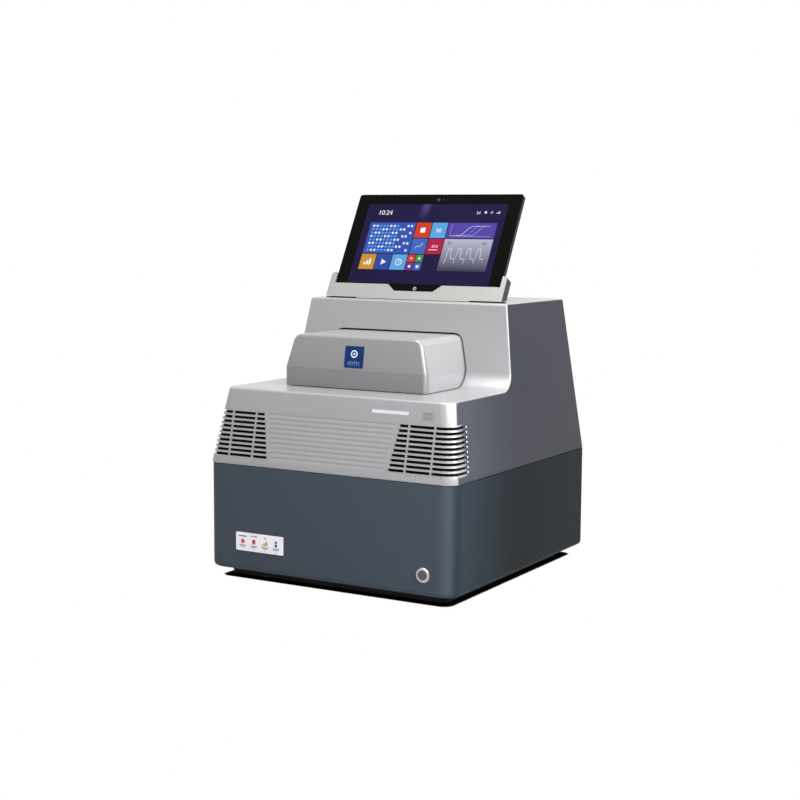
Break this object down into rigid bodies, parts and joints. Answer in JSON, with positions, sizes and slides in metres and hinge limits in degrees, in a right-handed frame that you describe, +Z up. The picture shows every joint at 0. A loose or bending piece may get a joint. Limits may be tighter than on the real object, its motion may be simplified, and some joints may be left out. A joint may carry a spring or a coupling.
{
  "type": "real-time pcr machine",
  "caption": "Bench thermal cycler with optics: sliding hood over a heated block, cooling fans and a tablet in a tilting dock on top.",
  "frame": {"origin": "on the bench, at the centre of the footprint", "axes": "+Z up, front faces -Y, +X to the viewer's right"},
  "size_m": [0.392, 0.4212, 0.537],
  "materials": {
    "silver_paint": "satin metallic paint",
    "slate_paint": "satin paint",
    "black_plastic": "matt",
    "gloss_black": "gloss",
    "dark_grey_plastic": "matt",
    "rubber": "matt",
    "steel": "brushed",
    "zinc_sheet": "zinc plated",
    "panel_paint": "powder coat",
    "aluminium": "bead blasted",
    "brass_pin": "plated",
    "ceramic": "matt",
    "board_green": "solder mask",
    "white_plastic": "satin",
    "red_lamp": "gloss",
    "blue_badge": "gloss",
    "filter_foam": "open foam",
    "heater_foil": "film",
    "glass_black": "polished",
    "lens_glass": "polished"
  },
  "bodies": {
    "base": {"feet": "rubber", "plinth": "black_plastic", "lower_housing": "slate_paint", "rear_panel": "panel_paint", "rear_screws": "steel", "power_inlet": "black_plastic", "inlet_pins": "brass_pin", "data_ports": "steel", "rear_fan_frame": "black_plastic", "fan_guard": "steel", "chassis_plate": "zinc_sheet", "rail_bridge": "zinc_sheet", "hood_rails": "steel", "hood_motor": "dark_grey_plastic", "power_supply": "aluminium", "driver_board": "board_green", "main_board": "board_green", "standoffs": "brass_pin", "sample_block": "aluminium", "thermal_modules": "ceramic", "block_nest": "dark_grey_plastic", "heat_sink": "aluminium", "block_supports": "zinc_sheet", "sink_fan_frames": "black_plastic", "upper_cover": "silver_paint", "louvre_grilles": "silver_paint", "dust_filters": "filter_foam", "light_bar": "white_plastic", "status_label": "white_plastic", "status_lamps": "red_lamp", "button_bezel": "steel", "button_switch": "black_plastic", "dock_brackets": "dark_grey_plastic"},
    "hood": {"hood_shell": "silver_paint", "hood_badge": "blue_badge", "hood_carriage": "aluminium", "hood_runners": "steel", "scan_rods": "steel", "scan_motor": "dark_grey_plastic", "lid_springs": "steel"},
    "hot_lid": {"hot_lid": "aluminium", "lid_heater": "heater_foil"},
    "scan_head": {"scan_head": "black_plastic", "scan_lenses": "lens_glass"},
    "scan_screw": {"scan_screw": "steel"},
    "hood_screw": {"hood_screw": "steel"},
    "rear_fan": {"rear_fan_rotor": "black_plastic"},
    "left_fan": {"left_fan_rotor": "black_plastic"},
    "right_fan": {"right_fan_rotor": "black_plastic"},
    "power_button": {"power_button": "steel"},
    "rocker": {"rocker_switch": "gloss_black"},
    "dock": {"dock_tray": "silver_paint", "dock_back": "dark_grey_plastic", "dock_connector": "black_plastic", "hinge_pins": "steel"},
    "tablet": {"tablet_body": "gloss_black", "tablet_glass": "glass_black", "tablet_camera": "lens_glass"},
    "tablet_power_key": {"tablet_power_key": "gloss_black"},
    "tablet_volume_key": {"tablet_volume_key": "gloss_black"}
  },
  "joints": [
    {"name": "hood_slide", "type": "slide", "parent": "base", "child": "hood", "axis": [0, 1, 0], "range_m": [0, 0.11]},
    {"name": "hood_screw_spin", "type": "hinge", "parent": "base", "child": "hood_screw", "pos_m": [-0.00865, 0.07, 0.231], "axis": [0, 1, 0], "range_deg": [0, 3960]},
    {"name": "hot_lid_lift", "type": "slide", "parent": "hood", "child": "hot_lid", "axis": [0, 0, 1], "range_m": [0, 0.004], "stiffness_N_per_m": 1500, "springref_m": -0.002, "deforming": ["lid_springs"]},
    {"name": "head_scan", "type": "slide", "parent": "hood", "child": "scan_head", "axis": [1, 0, 0], "range_m": [0, 0.099]},
    {"name": "scan_screw_spin", "type": "hinge", "parent": "hood", "child": "scan_screw", "pos_m": [-0.00865, -0.069, 0.306], "axis": [1, 0, 0], "range_deg": [0, 3564]},
    {"name": "rear_fan_spin", "type": "hinge", "parent": "base", "child": "rear_fan", "pos_m": [-0.105, 0.195, 0.098], "axis": [0, 1, 0], "continuous": true},
    {"name": "left_fan_spin", "type": "hinge", "parent": "base", "child": "left_fan", "pos_m": [-0.03965, -0.069, 0.17], "axis": [0, 0, 1], "continuous": true},
    {"name": "right_fan_spin", "type": "hinge", "parent": "base", "child": "right_fan", "pos_m": [0.02235, -0.069, 0.17], "axis": [0, 0, 1], "continuous": true},
    {"name": "power_button_press", "type": "slide", "parent": "base", "child": "power_button", "axis": [0, 1, 0], "range_m": [0, 0.002], "stiffness_N_per_m": 900},
    {"name": "rocker_flip", "type": "hinge", "parent": "base", "child": "rocker", "pos_m": [0.12, 0.208, 0.087], "axis": [1, 0, 0], "range_deg": [0, 16]},
    {"name": "dock_tilt", "type": "hinge", "parent": "base", "child": "dock", "pos_m": [0, 0.04537, 0.3915], "axis": [-1, 0, 0], "range_deg": [0, 58]},
    {"name": "tablet_lift", "type": "slide", "parent": "dock", "child": "tablet", "axis": [0, 0.4802, 0.8771], "range_m": [0, 0.06]},
    {"name": "tablet_power_press", "type": "slide", "parent": "tablet", "child": "tablet_power_key", "axis": [0, -0.4802, -0.8771], "range_m": [0, 0.0004], "stiffness_N_per_m": 1000},
    {"name": "tablet_volume_press", "type": "slide", "parent": "tablet", "child": "tablet_volume_key", "axis": [1, 0, 0], "range_m": [0, 0.0004], "stiffness_N_per_m": 1000}
  ],
  "couplings": [
    {"joint": "hood_screw_spin", "follows": "hood_slide", "rad_per_m": 628.32},
    {"joint": "scan_screw_spin", "follows": "head_scan", "rad_per_m": 628.32}
  ]
}
